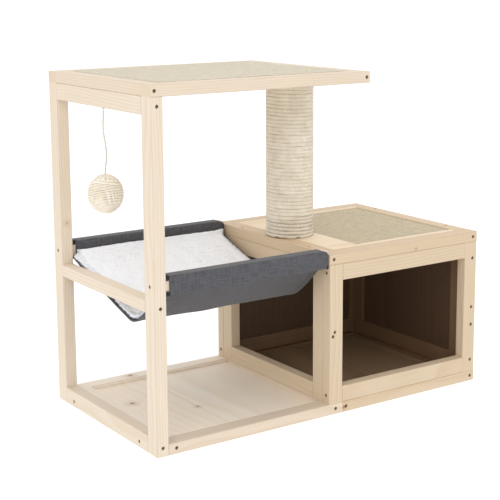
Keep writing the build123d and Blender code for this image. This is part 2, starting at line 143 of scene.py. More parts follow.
def into_mesh(piece, name):
    """Turns a curve into a smooth mesh of that name."""
    make_active(piece)
    bpy.ops.object.convert(target="MESH")
    made = bpy.context.object
    made.name = name
    made.data.name = name
    smooth(made, 60)
    return made


def from_bmesh(name, mesh):
    """A new object that holds a bmesh, which is freed."""
    data = bpy.data.meshes.new(name)
    mesh.to_mesh(data)
    mesh.free()
    return add_object(name, data)


def hand_over(piece, finish, body, node=None):
    """Gives a piece its material, its body and the CAD node that it stands for."""
    piece.data.materials.append(finish)
    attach(piece, body)
    if node:
        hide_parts(node)


def line_of(name, points, kind="NURBS", closed=False, radius=0.0, fineness=3):
    """A curve through or near the points, each (place, tilt), as a round wire of that radius."""
    data = bpy.data.curves.new(name, "CURVE")
    data.dimensions = "3D"
    data.bevel_depth = radius
    data.bevel_resolution = fineness
    data.use_fill_caps = True
    spline = data.splines.new(kind)
    spline.points.add(len(points) - 1)
    for point, (place, tilt) in zip(spline.points, points):
        point.co = (*place, 1.0)
        point.tilt = tilt
    spline.use_cyclic_u = closed
    if kind == "NURBS":
        spline.order_u = 3
        spline.use_endpoint_u = not closed
    return add_object(name, data)


def strand_outline(name, radius, strands, valley):
    """The cross-section of a twisted rope or yarn: round strands side by side."""
    steps = strands * 4
    ring = []
    for step in range(steps):
        angle = FULL_TURN * step / steps
        dip = valley * (1 - abs(math.cos(strands * angle / 2)))
        reach = radius * (1 - dip)
        ring.append(((reach * math.cos(angle), reach * math.sin(angle), 0.0), 0.0))
    outline = line_of(name, ring, "POLY", closed=True)
    outline.data.dimensions = "2D"
    return outline


def twisted(name, path, outline):
    """A rope or yarn of that outline along a path of (place, tilt)."""
    rope = line_of(name + "_line", path, "POLY")
    rope.data.twist_mode = "Z_UP"
    rope.data.bevel_mode = "OBJECT"
    rope.data.bevel_object = outline
    return into_mesh(rope, name)

# ---- node groups

# What a group's inputs hold until they are fed.
ORIGIN = (0.0, 0.0, 0.0)
PALE = srgb(236, 221, 200)
BROWN = srgb(186, 168, 136)


class Graph:
    """Short ways to add and join nodes in a material or a node group."""

    def __init__(self, tree):
        self.tree = tree

    def add(self, kind, inputs=None, **settings):
        node = self.tree.nodes.new(kind)
        for key, value in settings.items():
            setattr(node, key, value)
        for key, value in (inputs or {}).items():
            self.feed(node.inputs[key], value)
        return node

    def feed(self, socket, value):
        if isinstance(value, bpy.types.NodeSocket):
            self.tree.links.new(value, socket)
        else:
            socket.default_value = value

    def work_out(self, kind, values, **settings):
        node = self.add(kind, **settings)
        for socket, value in zip(node.inputs, values):
            self.feed(socket, value)
        return node.outputs

    def math(self, operation, *values, clamp=False):
        return self.work_out("ShaderNodeMath", values, operation=operation, use_clamp=clamp)[0]

    def plus(self, one, other):
        return self.math("ADD", one, other)

    def times(self, one, other):
        return self.math("MULTIPLY", one, other)

    def move(self, operation, *values):
        outputs = self.work_out("ShaderNodeVectorMath", values, operation=operation)
        return outputs["Value" if operation in ("DISTANCE", "DOT_PRODUCT") else "Vector"]

    def stretch(self, vector, factors):
        return self.move("MULTIPLY", vector, factors)

    def inset(self, place, low, high):
        """How far a place lies inside a box, along each axis."""
        from_low = self.move("SUBTRACT", place, low)
        from_high = self.move("SUBTRACT", high, place)
        return self.move("MINIMUM", from_low, from_high)

    def noise(self, vector, scale, detail=2.0, roughness=0.5):
        inputs = {"Vector": vector, "Scale": scale, "Detail": detail, "Roughness": roughness}
        return self.add("ShaderNodeTexNoise", inputs).outputs["Fac"]

    def spread(self, value, low, high, start=0.0, end=1.0):
        """value from low..high to start..end, held at both ends."""
        inputs = {
            "Value": value, "From Min": low, "From Max": high, "To Min": start, "To Max": end
        }
        return self.add("ShaderNodeMapRange", inputs).outputs["Result"]

    def blend(self, factor, one, other, how="MIX"):
        node = self.add("ShaderNodeMix", data_type="RGBA", blend_type=how)
        self.feed(node.inputs["Factor"], factor)
        self.feed(node.inputs["A"], one)
        self.feed(node.inputs["B"], other)
        return node.outputs["Result"]

    def split(self, vector):
        return self.add("ShaderNodeSeparateXYZ", {"Vector": vector}).outputs

    def lot(self, number):
        """A random colour and value for a whole number."""
        return self.add("ShaderNodeTexWhiteNoise", {"W": number}, noise_dimensions="1D").outputs


def group(name, inputs, *outputs):
    """A node group: a vector and the inputs' first values go in, the named outputs come out."""
    tree = bpy.data.node_groups.new(name, "ShaderNodeTree")
    for label, value in {"Vector": ORIGIN, **inputs}.items():
        kind = "Float" if isinstance(value, float) else {3: "Vector", 4: "Color"}[len(value)]
        socket = tree.interface.new_socket(label, in_out="INPUT", socket_type="NodeSocket" + kind)
        socket.default_value = value
    for label in outputs:
        kind = label if label in ("Vector", "Color") else "Float"
        tree.interface.new_socket(label, in_out="OUTPUT", socket_type="NodeSocket" + kind)
    given = tree.nodes.new("NodeGroupInput").outputs
    return Graph(tree), given["Vector"], given, tree.nodes.new("NodeGroupOutput").inputs


def pine_group():
    """Flat-sawn pine, its grain along the vector's X: growth rings, fibres and a few knots."""
    g, place, given, out = group(
        "pine_grain",
        {
            "Pith": (0.0, 0.02, 0.07), "Ring Width": 0.009, "Ring Depth": 0.5, "Knots": 0.06,
            "Pale": PALE, "Ring": BROWN,
        },
        "Color", "Roughness", "Height",
    )
    along = g.stretch(place, (0.35, 1.0, 1.0))
    cells = g.add("ShaderNodeTexVoronoi", {"Vector": along, "Scale": 11.0}, feature="F1").outputs
    chosen = g.math("LESS_THAN", g.split(cells["Color"])[0], given["Knots"])
    near = g.times(g.spread(cells["Distance"], 0.30, 0.04), chosen)
    ripple = g.noise(g.stretch(place, (0.12, 1.0, 1.0)), 26.0, 3.0)
    sway = g.noise(g.stretch(place, (1.0, 0.3, 0.3)), 3.2, 1.0)
    section = (0.0, 1.0, 1.0)
    radius = g.move("DISTANCE", g.stretch(place, section), g.stretch(given["Pith"], section))
    for bend, reach in ((ripple, 0.0045), (sway, 0.022), (near, 0.012)):
        radius = g.plus(radius, g.times(bend, reach))
    ring = g.math("FRACT", g.math("DIVIDE", radius, given["Ring Width"]))
    late = g.times(g.spread(ring, 0.25, 0.86), g.spread(ring, 1.0, 0.9))
    fibres = g.noise(g.stretch(place, (0.02, 1.0, 1.0)), 900.0, 4.0, 0.6)
    cloud = g.noise(g.stretch(place, (0.18, 1.0, 1.0)), 14.0, 2.0)
    color = g.blend(g.times(late, given["Ring Depth"]), given["Pale"], given["Ring"])
    color = g.blend(g.spread(cloud, 0.35, 0.72, 0.0, 0.22), color, given["Ring"])
    color = g.blend(1.0, color, g.spread(fibres, 0.25, 0.75, 0.93, 1.05), "MULTIPLY")
    color = g.blend(g.times(near, 0.35), color, given["Ring"])
    heart = g.spread(near, 0.72, 0.9)
    g.feed(out["Color"], g.blend(g.times(heart, 0.85), color, srgb(134, 92, 60)))
    g.feed(out["Roughness"], g.spread(fibres, 0.3, 0.7, 0.5, 0.66))
    g.feed(out["Height"], g.plus(g.times(fibres, 0.6), g.times(late, 0.4)))
    return g.tree


def seam_shade_group():
    """Painted shade: the narrow grey-brown line along the long edges of a batten in its box, for
    the shadow in the seams.
    """
    inputs = {"Low": ORIGIN, "High": ORIGIN, "Across": ORIGIN}
    g, place, given, out = group("batten_seam_shade", inputs, "Line")
    inset = g.inset(place, given["Low"], given["High"])
    line = g.spread(g.move("DOT_PRODUCT", inset, given["Across"]), 0.0011, 0.0002)
    broken = g.noise(place, 60.0, 2.0)
    g.feed(out["Line"], g.times(line, g.spread(broken, 0.3, 0.6, 0.5, 1.0)))
    return g.tree


def plank_group():
    """Splits a vector into planks that lie side by side across Y, each with its own grain."""
    g, place, given, out = group("planks", {"Width": 0.09}, "Vector", "Tone", "Seam")
    across = g.math("DIVIDE", g.split(place)[1], given["Width"])
    lot = g.lot(g.math("FLOOR", across))
    jump = g.stretch(lot["Color"], (3.0, 0.5, 0.5))
    g.feed(out["Vector"], g.move("ADD", place, jump))
    g.feed(out["Tone"], lot["Value"])
    inside = g.math("FRACT", across)
    edge = g.math("MINIMUM", inside, g.math("SUBTRACT", 1.0, inside))
    g.feed(out["Seam"], g.spread(g.times(edge, given["Width"]), 0.0005, 0.0))
    return g.tree


def knot_group():
    """One knot at a place on the wood: its dark heart and the darker rings round it."""
    g, place, given, out = group("one_knot", {"Place": ORIGIN, "Size": 0.004}, "Heart", "Halo")
    wobble = g.times(g.noise(place, 260.0, 2.0), given["Size"])
    away = g.plus(g.move("DISTANCE", place, given["Place"]), wobble)
    share = g.math("DIVIDE", away, given["Size"])
    g.feed(out["Heart"], g.spread(share, 1.5, 1.1))
    g.feed(out["Halo"], g.spread(share, 4.2, 1.2))
    return g.tree


def weave_group():
    """A plain weave on a flat vector in metres: warp over weft, with slubs and stray fibres."""
    g, place, given, out = group(
        "plain_weave", {"Thread": 0.0014, "Slub": 0.6, "Light": PALE, "Dark": BROWN},
        "Color", "Height",
    )
    wobble = g.stretch(g.noise(place, 130.0, 2.0), (0.0006, 0.0005, 0.0))
    parts = g.split(g.move("ADD", place, wobble))
    counts = [g.math("DIVIDE", part, given["Thread"]) for part in parts[:2]]
    warp, weft = [g.math("ABSOLUTE", g.math("SINE", g.times(at, math.pi))) for at in counts]
    whole = [g.math("FLOOR", at) for at in counts]
    odd = g.math("PINGPONG", g.plus(*whole), 1.0)
    over = g.plus(g.times(warp, odd), g.times(weft, g.math("SUBTRACT", 1.0, odd)))
    slubs = [
        g.times(g.noise(g.stretch(place, factors), 420.0, 3.0, 0.65), 0.5)
        for factors in ((1.0, 0.12, 1.0), (0.12, 1.0, 1.0))
    ]
    thick = g.spread(g.plus(*slubs), 0.36, 0.64, -0.5, 0.5)
    level = g.plus(g.times(over, 0.75), 0.1)
    level = g.math("ADD", level, g.times(thick, given["Slub"]), clamp=True)
    g.feed(out["Color"], g.blend(level, given["Dark"], given["Light"]))
    g.feed(out["Height"], level)
    return g.tree


def fibre_group():
    """Sisal: pale and dark fibres along the vector's X, with dust between them."""
    g, place, given, out = group("sisal_fibres", {"Pale": PALE, "Dark": BROWN}, "Color", "Height")
    fine = g.noise(g.stretch(place, (0.08, 1.0, 1.0)), 1800.0, 3.0, 0.6)
    broad = g.noise(place, 60.0, 3.0, 0.55)
    level = g.spread(g.plus(fine, g.times(broad, 0.5)), 0.55, 0.95)
    soft = g.plus(g.times(g.math("SUBTRACT", level, 0.5), 0.9), 0.5)
    g.feed(out["Color"], g.blend(soft, given["Dark"], given["Pale"]))
    g.feed(out["Height"], fine)
    return g.tree


PINE = pine_group()
# A painted shade line along the edges of each batten.
SEAM_SHADE = seam_shade_group()
PLANKS = plank_group()
KNOT = knot_group()
WEAVE = weave_group()
FIBRES = fibre_group()

# ---- materials


class Finish(Graph):
    """A material in the making: its graph, its shader, and a way to place one of the groups."""

    def __init__(self, name, roughness=0.6, **uniform):
        self.material = bpy.data.materials.new(name)
        self.material.use_nodes = True
        super().__init__(self.material.node_tree)
        self.shader = self.tree.nodes["Principled BSDF"].inputs
        for label, value in {"Roughness": roughness, **uniform}.items():
            self.shader[label.replace("_", " ")].default_value = value

    @functools.cached_property
    def place(self):
        """Where the surface is, from the origin."""
        return self.add("ShaderNodeTexCoord").outputs["Object"]

    def use(self, tree, **inputs):
        node = self.add("ShaderNodeGroup", node_tree=tree)
        for label, value in inputs.items():
            self.feed(node.inputs[label.replace("_", " ")], value)
        return node.outputs

    def done(self, color, height, distance, strength=1.0, roughness=None):
        """Joins the colour, the relief and any roughness to the shader."""
        self.feed(self.shader["Base Color"], color)
        if roughness is not None:
            self.feed(self.shader["Roughness"], roughness)
        bump = self.add("ShaderNodeBump", {
            "Height": height, "Distance": distance, "Strength": strength
        })
        self.feed(self.shader["Normal"], bump.outputs["Normal"])
        return self.material


class Wood(Finish):
    """Bare pine in the making: its grain, sawn ends and knots, and the painted shade along its
    edges and inside the box.
    """

    TURN = {
        "X": (0.0, 0.0, 0.0),
        "Y": (0.0, 0.0, math.radians(-90)),
        "Z": (0.0, math.radians(90), 0.0),
        "Z on X": (math.radians(90), 0.0, math.radians(90)),
    }

    def along_grain(self, axis, start):
        """Object coordinates turned so that X follows the grain, from the piece's own start."""
        return self.add("ShaderNodeMapping", {
            "Vector": self.place, "Rotation": self.TURN[axis], "Location": start
        }).outputs["Vector"]

    def end_grain(self, axis, color):
        """Darkens the sawn ends, where the surface faces along the grain."""
        facing = self.split(self.add("ShaderNodeTexCoord").outputs["Normal"])[axis]
        ends = self.spread(self.math("ABSOLUTE", facing), 0.8, 0.95, 0.0, 0.22)
        return self.blend(ends, color, srgb(206, 178, 142))

    def painted_seam_shade(self, axis, color, body):
        """Painted shade: a thin brown line along the long edges of a batten that fills that box,
        for the shadow in the seams between parts.
        """
        across = tuple(0.0 if letter == axis else 1.0 for letter in "XYZ")
        low, high = body
        edge = self.use(SEAM_SHADE, Vector=self.place, Low=tuple(low), High=tuple(high), Across=across)
        return self.blend(self.times(edge["Line"], 0.6), color, srgb(140, 112, 82))

    def knots(self, color, places):
        """Lays knots over a wood colour, each given as a place and a size."""
        for place, size in places:
            knot = self.use(KNOT, Vector=self.place, Place=tuple(place), Size=size)
            color = self.blend(self.times(knot["Halo"], 0.4), color, srgb(196, 158, 118))
            color = self.blend(self.times(knot["Heart"], 0.8), color, srgb(154, 114, 80))
        return color

    def stain_and_painted_shade(self, color, tint):
        """Painted shade: a darker brown multiplied over a wood colour on all that lies within the
        box's walls, for the dim light inside the box.
        """
        side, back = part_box("side_panel"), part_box("back_panel")
        door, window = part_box("doorway_front_stile")[1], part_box("window_left_stile")[1]
        low = Vector((door.x, window.y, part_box("base_floor")[0].z))
        high = Vector(((side[0].x + side[1].x) / 2, (back[0].y + back[1].y) / 2, window.z))
        slack = Vector((0.2, 0.2, 0.2)) * MM
        inset = self.inset(self.place, tuple(low - slack), tuple(high + slack))
        x, y, z = self.split(inset)
        least = self.math("MINIMUM", self.math("MINIMUM", x, y), z)
        painted_shade_color = self.blend(1.0, color, tint, "MULTIPLY")
        return self.blend(self.math("GREATER_THAN", least, 0.0), color, painted_shade_color)


def batten_pine(name, axis, seed, tone, spots=(), body=None, stain_and_painted_shade=None, depth=0.5, knots=0.1):
    """Bare pine for one batten, with its own stretch of grain, a painted shade line along its
    edges, and painted shade inside the box.
    """
    luck = random.Random(seed)
    g = Wood(name)
    start = [luck.uniform(-4, 4), luck.uniform(-0.01, 0.01), luck.uniform(-0.01, 0.01)]
    pith_angle = luck.uniform(0, FULL_TURN)
    pith_reach = luck.uniform(0.03, 0.09)
    wood = g.use(
        PINE, Vector=g.along_grain(axis, start), Ring_Width=luck.uniform(0.0032, 0.0052),
        Pith=(0.0, pith_reach * math.cos(pith_angle), pith_reach * math.sin(pith_angle)),
        Ring_Depth=depth, Knots=knots, Pale=tone[0], Ring=tone[1],
    )
    color = g.knots(g.end_grain(axis, wood["Color"]), spots)
    if body:
        color = g.painted_seam_shade(axis, color, body)
    if stain_and_painted_shade:
        color = g.stain_and_painted_shade(color, stain_and_painted_shade)
    return g.done(color, wood["Height"], 0.00025, 0.5, wood["Roughness"])


def plank_pine(name, axis, seed, plank_width, first_seam, tone, depth, spots=(), stain_and_painted_shade=None):
    """A board glued from pine planks that run along one axis, with a brown painted shade inside
    the box.
    """
    g = Wood(name)
    vector = g.along_grain(axis, (0.0, first_seam, 0.0))
    planks = g.use(PLANKS, Vector=vector, Width=plank_width)
    shifted = g.move("ADD", planks["Vector"], (seed * 0.7, 0.0, 0.0))
    wood = g.use(PINE, Vector=shifted, Ring_Depth=depth, Pale=tone[0], Ring=tone[1])
    color = g.blend(g.times(planks["Tone"], 0.35), wood["Color"], tone[1])
    color = g.blend(g.times(planks["Seam"], 0.55), color, srgb(140, 110, 80))
    if stain_and_painted_shade:
        color = g.stain_and_painted_shade(color, stain_and_painted_shade)
    height = g.math("SUBTRACT", wood["Height"], g.times(planks["Seam"], 2.0))
    return g.done(g.knots(color, spots), height, 0.0003, 0.6, wood["Roughness"])


def dull_steel(name, pale, dark):
    """Zinc steel, dull from its tool and a little brown."""
    g = Finish(name, Metallic=0.3)
    stain_and_painted_shade = g.noise(g.place, 400.0, 3.0)
    color = g.blend(g.spread(stain_and_painted_shade, 0.4, 0.7), pale, dark)
    rough = g.spread(stain_and_painted_shade, 0.3, 0.7, 0.35, 0.6)
    return g.done(color, g.noise(g.place, 1500.0, 2.0), 0.00005, 0.5, rough)


def card_board():
    """The column's wound paper tube: grey-brown card with a slanting seam every turn."""
    g = Finish("wound_card", roughness=0.85)
    x, y, z = g.split(g.place)
    around = g.math("ARCTAN2", y, g.math("SUBTRACT", x, column_middle.x))
    climb = g.plus(g.times(z, 12.0), g.math("DIVIDE", around, FULL_TURN))
    seam = g.spread(g.math("PINGPONG", climb, 0.5), 0.03, 0.0)
    speck = g.noise(g.place, 700.0, 4.0)
    color = g.blend(speck, srgb(168, 140, 108), srgb(196, 170, 138))
    color = g.blend(g.times(seam, 0.6), color, srgb(110, 86, 62))
    return g.done(color, g.math("SUBTRACT", speck, seam), 0.0003, 0.5)


def ball_foam():
    """Closed-cell foam, its cells a little greyer at their edges."""
    g = Finish("ball_foam", roughness=0.8)
    cells = g.add("ShaderNodeTexVoronoi", {"Vector": g.place, "Scale": 500.0})
    reach = cells.outputs["Distance"]
    return g.done(g.blend(reach, srgb(214, 210, 200), srgb(238, 235, 226)), reach, 0.0004)


def rope_sisal():
    """Laid sisal rope: every turn a little paler or browner than the next."""
    g = Finish("sisal_rope", roughness=0.85, Sheen_Weight=0.25)
    fibres = g.use(FIBRES, Vector=g.place, Pale=srgb(247, 240, 226), Dark=srgb(208, 196, 173))
    turn = g.math("FLOOR", g.math("DIVIDE", g.split(g.place)[2], ROPE_THICK))
    patches = g.spread(g.noise(g.stretch(g.place, (1, 1, 3)), 40.0), 0.4, 0.75, 0.0, 0.12)
    brown = g.plus(g.times(g.lot(turn)["Value"], 0.07), patches)
    color = g.blend(brown, fibres["Color"], srgb(184, 162, 128))
    return g.done(color, fibres["Height"], 0.0006, 0.8)


def yarn_sisal(name, pale, dark):
    """Loose sisal yarn, paler and warmer than the rope."""
    g = Finish(name, roughness=0.85, Sheen_Weight=0.2)
    fibres = g.use(FIBRES, Vector=g.place, Pale=pale, Dark=dark)
    return g.done(fibres["Color"], fibres["Height"], 0.0004, 0.8)


def mat_sisal(name, light, dark):
    """Woven sisal matting: thick pale weft between thin warp threads."""
    g = Finish(name, roughness=0.9, Sheen_Weight=0.15)
    weave = g.use(WEAVE, Vector=g.place, Thread=0.0032, Slub=0.75, Light=light, Dark=dark)
    patches = g.spread(g.noise(g.place, 170.0, 4.0, 0.7), 0.4, 0.75, 0.0, 0.45)
    return g.done(g.blend(patches, weave["Color"], dark), weave["Height"], 0.0009, 0.9)


def grey_canvas():
    """The hammock's cloth: grey melange, its weave on the cloth's own flat map."""
    g = Finish("grey_canvas", roughness=0.88, Sheen_Weight=0.2)
    weave = g.use(
        WEAVE, Vector=g.add("ShaderNodeUVMap", uv_map="cut").outputs["UV"],
        Light=srgb(98, 98, 104), Dark=srgb(36, 36, 38),
    )
    return g.done(weave["Color"], weave["Height"], 0.0005, 0.8)


def painted_shadow_tab():
    """Painted shadow: a near-black sheet with a fine rib across it, for the dark gaps at the
    hammock sleeves' ends.
    """
    g = Finish("painted_shadow_tab", roughness=0.8)
    wave = {"Vector": g.place, "Scale": 260.0, "Distortion": 1.0}
    rib = g.add("ShaderNodeTexWave", wave).outputs["Fac"]
    return g.done(g.blend(rib, srgb(20, 18, 17), srgb(42, 38, 36)), rib, 0.0003)


def grey_thread():
    """Sewing thread, a little paler than the canvas. It has no relief of its own."""
    g = Finish("hammock_thread", roughness=0.8)
    tone = g.noise(g.place, 900.0, 2.0)
    g.feed(g.shader["Base Color"], g.blend(tone, srgb(92, 93, 97), srgb(150, 151, 156)))
    return g.material


def white_plush():
    """Short white pile, brushed in soft patches."""
    g = Finish("white_plush", roughness=0.95, Sheen_Weight=0.6, Sheen_Roughness=0.6)
    pile = g.noise(g.place, 900.0, 3.0, 0.7)
    brushed = g.noise(g.stretch(g.place, (1.6, 0.5, 1.0)), 38.0, 3.0, 0.6)
    level = g.plus(g.times(pile, 0.45), g.times(brushed, 0.55))
    color = g.blend(g.spread(level, 0.35, 0.65), srgb(236, 240, 247), srgb(246, 249, 254))
    return g.done(color, level, 0.0007, 0.4)

# ---- wood on the frame's pieces

TONES = {
    "light": (srgb(247, 235, 219), srgb(234, 215, 190)),
    "pale": (srgb(227, 213, 194), srgb(209, 185, 154)),
    "fair": (srgb(223, 207, 187), srgb(206, 181, 150)),
    "warm": (srgb(214, 195, 168), srgb(196, 166, 130)),
    "honey": (srgb(213, 192, 163), srgb(193, 161, 122)),
    # Painted light: the tray floor is paler than its wood, to make up for the shade under the
    # platform.
    "tray floor in painted light": (srgb(254, 243, 227), srgb(240, 215, 184)),
    # Painted shade: the box floor is dark brown for the dim light inside the box.
    "box floor in painted shade": (srgb(140, 117, 92), srgb(118, 95, 71)),
    "box top": (srgb(238, 221, 195), srgb(222, 194, 156)),
    "platform": (srgb(236, 220, 196), srgb(214, 184, 146)),
    "panel": (srgb(225, 208, 182), srgb(204, 176, 140)),
}
TONE_OF = (
    (("tray_left_rail", "tray_back_rail"), "light"),
    (("left_", "hammock_"), "pale"),
    (("tray_", "platform_"), "fair"),
    (("top_", "base_"), "honey"),
    (("window_", "doorway_", "back_", "side_"), "warm"),
)
# Battens of these tones, and the boards below, get a painted shade multiplied over them inside the
# box, for its dim light.
BOX_TONES = ("warm", "honey")
BATTEN_INSIDE_SHADE = srgb(136, 116, 98)
PANEL_INSIDE_SHADE = srgb(96, 78, 64)
BOARD_INSIDE_SHADE = {"back_panel": PANEL_INSIDE_SHADE, "side_panel": PANEL_INSIDE_SHADE, "top_board": BATTEN_INSIDE_SHADE}


def spot(x, y, z, size):
    """A knot's place, in millimetres from the side frame's front lower corner, and its size."""
    return tree_corner + Vector((x, y, z)) * MM, size


KNOTS_ON = {
    "tray_floor": [spot(77.9, 226.9, 14, 0.0056), spot(168, 144.5, 14, 0.0034)],
    "tray_left_rail": [spot(27, 267, 30, 0.004)],
    "tray_back_rail": [spot(145.7, 356.9, 20, 0.0052)],
    "base_front_rail": [spot(391.5, 0, 9, 0.0044)],
    "left_back_post": [spot(11.8, 340, 341, 0.003)],
    "top_front_rail": [spot(560, 0, 283, 0.002)],
}


def paint(node, finish):
    data = nodes[node].data
    data.materials.clear()
    data.materials.append(finish)


def longest_axis(node):
    low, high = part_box(node)
    spans = list(high - low)
    return "XYZ"[spans.index(max(spans))]


def finish_battens():
    wooden = ("_post", "_rail", "_stile", "_slat")
    battens = sorted(name for name in nodes if name.endswith(wooden))
    for seed, name in enumerate(battens, 3):
        tone = next(tone for starts, tone in TONE_OF if name.startswith(starts))
        # Box battens get a painted shade inside the box, and every batten a painted shade line
        # along its edges.
        paint(name, batten_pine(
            "pine_" + name, longest_axis(name), seed, TONES[tone], KNOTS_ON.get(name, ()),
            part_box(name), BATTEN_INSIDE_SHADE if tone in BOX_TONES else None,
            depth=0.34, knots=0.08,
        ))


def finish_boards():
    """Each board by its grain, seed, plank width, first seam, tone and depth of rings."""
    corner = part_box("top_board")[0]
    tray_seam = tree_corner.x + 169 * MM
    boards = (
        ("tray_floor", "Y", 2.0, 0.2, tray_seam, "tray floor in painted light", 0.32),
        ("base_floor", "Y", 5.0, 0.13, 0.05, "box floor in painted shade", 0.5),
        ("top_board", "X", 9.0, 0.095, corner.y, "box top", 0.6),
        ("platform_board", "X", 12.0, 0.095, corner.y, "platform", 0.5),
        ("back_panel", "Z on X", 15.0, 0.06, corner.x, "panel", 0.6),
        ("side_panel", "Z", 17.0, 0.06, corner.y, "panel", 0.6),
    )
    # The back panel, side panel and top board get a painted shade on what lies inside the box.
    for name, axis, seed, width, seam, tone, depth in boards:
        paint(name, plank_pine(
            "planks_" + name, axis, seed, width, seam, TONES[tone], depth,
            KNOTS_ON.get(name, ()), BOARD_INSIDE_SHADE.get(name),
        ))


ROPE_THICK = 7 * MM
STEEL_FINISH = dull_steel("screw_steel", srgb(142, 124, 104), srgb(82, 68, 54))
WIRE_FINISH = dull_steel("staple_wire", srgb(78, 66, 56), srgb(40, 33, 28))
ROPE_FINISH = rope_sisal()
YARN_FINISH = yarn_sisal("ball_yarn", srgb(255, 250, 240), srgb(240, 226, 202))
CORD_FINISH = yarn_sisal("toy_cord_yarn", srgb(230, 225, 216), srgb(186, 180, 169))
PLATFORM_MAT = mat_sisal("platform_sisal", srgb(228, 219, 198), srgb(192, 180, 154))
TOP_MAT = mat_sisal("top_sisal", srgb(218, 204, 174), srgb(170, 154, 122))
CANVAS = grey_canvas()
# Near-black tabs that are painted shadow at the hammock sleeves' ends.
SHADOW_TAB = painted_shadow_tab()
PLUSH = white_plush()

finish_battens()
finish_boards()
paint("frame_screws", STEEL_FINISH)
paint("column_bolts", STEEL_FINISH)
paint("column_tube", card_board())
paint("column_plugs", batten_pine("turned_wood", "Z", 81, TONES["warm"]))
paint("hammock_dowels", batten_pine("dowel_wood", "X", 82, TONES["warm"]))
paint("toy_ball_core", ball_foam())
paint("toy_anchor", CORD_FINISH)

# ---- the toy

# The cord's route: X and Y from the knot, and the drop below it, in millimetres.
CORD_ROUTE = [
    (0.0, 0.0, 2.7),
    (0.3, 1.6, 13.0),
    (0.8, 5.2, 26.0),
    (0.2, 3.4, 42.0),
    (-0.8, -4.6, 58.0),
    (-0.9, -8.6, 74.0),
    (-0.2, -5.6, 90.0),
    (0.0, -1.2, 103.0),
    (0.0, 0.0, 120.4),
]
CORD_DIAMETER = 2.8 * MM


def toy_cord():
    route = [(knot_middle + Vector((x, y, -drop)) * MM, 0.0) for x, y, drop in CORD_ROUTE]
    cord = line_of("toy_hanging_cord", route, radius=CORD_DIAMETER / 2)
    cord.data.resolution_u = 12
    hand_over(cord, CORD_FINISH, "toy", "toy_cord")


def toy_knot():
    """The overhand knot that the cord hangs from: a small pretzel of the same cord."""
    steps = 60
    size = (knot_high.x - knot_low.x) / 2
    loop = []
    for step in range(steps):
        angle = FULL_TURN * step / steps
        reach = math.sin(angle) + 2 * math.sin(2 * angle)
        side = math.cos(angle) - 2 * math.cos(2 * angle)
        rise = -math.sin(3 * angle)
        place = knot_middle + Vector((reach, side * 0.9, rise * 1.1)) * size * 0.24
        loop.append((place, 0.0))
    knot = line_of("toy_tied_knot_line", loop, closed=True, radius=size * 0.36)
    knot = into_mesh(knot, "toy_tied_knot")
    hand_over(knot, CORD_FINISH, "toy_knot_link", "toy_knot")


def toy_ball():
    """Yarn wound round the ball from its top to its bottom, over a second slanting layer."""
    yarn = 1.45 * MM
    radius = (ball_high.z - ball_low.z) / 2
    first_polar, last_polar = math.radians(7), math.radians(173)
    steps_per_turn = 56
    luck = random.Random(12)
    layers = (
        ("toy_ball_yarn", radius - yarn, 34, math.radians(9), math.radians(110)),
        ("toy_ball_under_yarn", radius - 2.2 * yarn, 30, math.radians(24), math.radians(-40)),
    )
    outline = strand_outline("yarn_outline", yarn, 2, 0.35)
    for name, reach, turns, slant, heading in layers:
        total = turns * steps_per_turn
        lean = Matrix.Rotation(heading, 3, "Z") @ Matrix.Rotation(slant, 3, "X")
        path = []
        for step in range(total + 1):
            share = step / total
            polar = first_polar + share * (last_polar - first_polar)
            around = FULL_TURN * turns * share
            wave = waver(around * 0.35, 3.1, share * 9) * 0.9 * MM
            place = lean @ Vector((
                math.sin(polar) * math.cos(around),
                math.sin(polar) * math.sin(around),
                math.cos(polar) + wave * 18,
            )).normalized() * (reach + wave * 0.4)
            egg = Vector((place.x * 0.965, place.y * 0.965, place.z * 1.05))
            path.append((ball_middle + egg, step * 0.9 + luck.uniform(-0.1, 0.1)))
        layer = twisted(name, path, outline)
        hand_over(layer, YARN_FINISH, "toy", "toy_ball_wrap")
    bpy.data.objects.remove(outline)

# ---- the column's rope


def by_column(reach, angle, height):
    """A place at that reach from the column's middle line, at that angle and height."""
    return Vector((
        column_middle.x + reach * math.cos(angle),
        column_middle.y + reach * math.sin(angle),
        height,
    ))


def column_rope():
    """One rope wound up the tube in close turns, its strands twisting as it climbs."""
    tall = rope_high.z - rope_low.z
    turns = round(tall / ROPE_THICK)
    steps_per_turn = 90
    total = turns * steps_per_turn
    reach = column_radius - ROPE_THICK / 2 - 0.15 * MM
    strand_pitch = 8 * MM
    twist_step = FULL_TURN / 3 * (FULL_TURN * reach / steps_per_turn) / strand_pitch
    lowest, highest = rope_low.z + ROPE_THICK / 2, rope_high.z - ROPE_THICK / 2
    start = math.radians(70)
    path = []
    for step in range(total + 1):
        around = FULL_TURN * step / steps_per_turn
        out = reach + 0.22 * MM * waver(around * 0.9, 1.3, 5.0)
        wave = 0.75 * MM * waver(around * 2.3, 7.7, 0.4)
        climb = rope_low.z + tall * step / total + wave
        height = min(max(climb, lowest), highest)
        path.append((by_column(out, start - around, height), step * twist_step))
    outline = strand_outline("rope_outline", ROPE_THICK / 2 * 1.14, 3, 0.14)
    rope = twisted("column_wound_rope", path, outline)
    bpy.data.objects.remove(outline)
    hand_over(rope, ROPE_FINISH, "root", "column_rope")


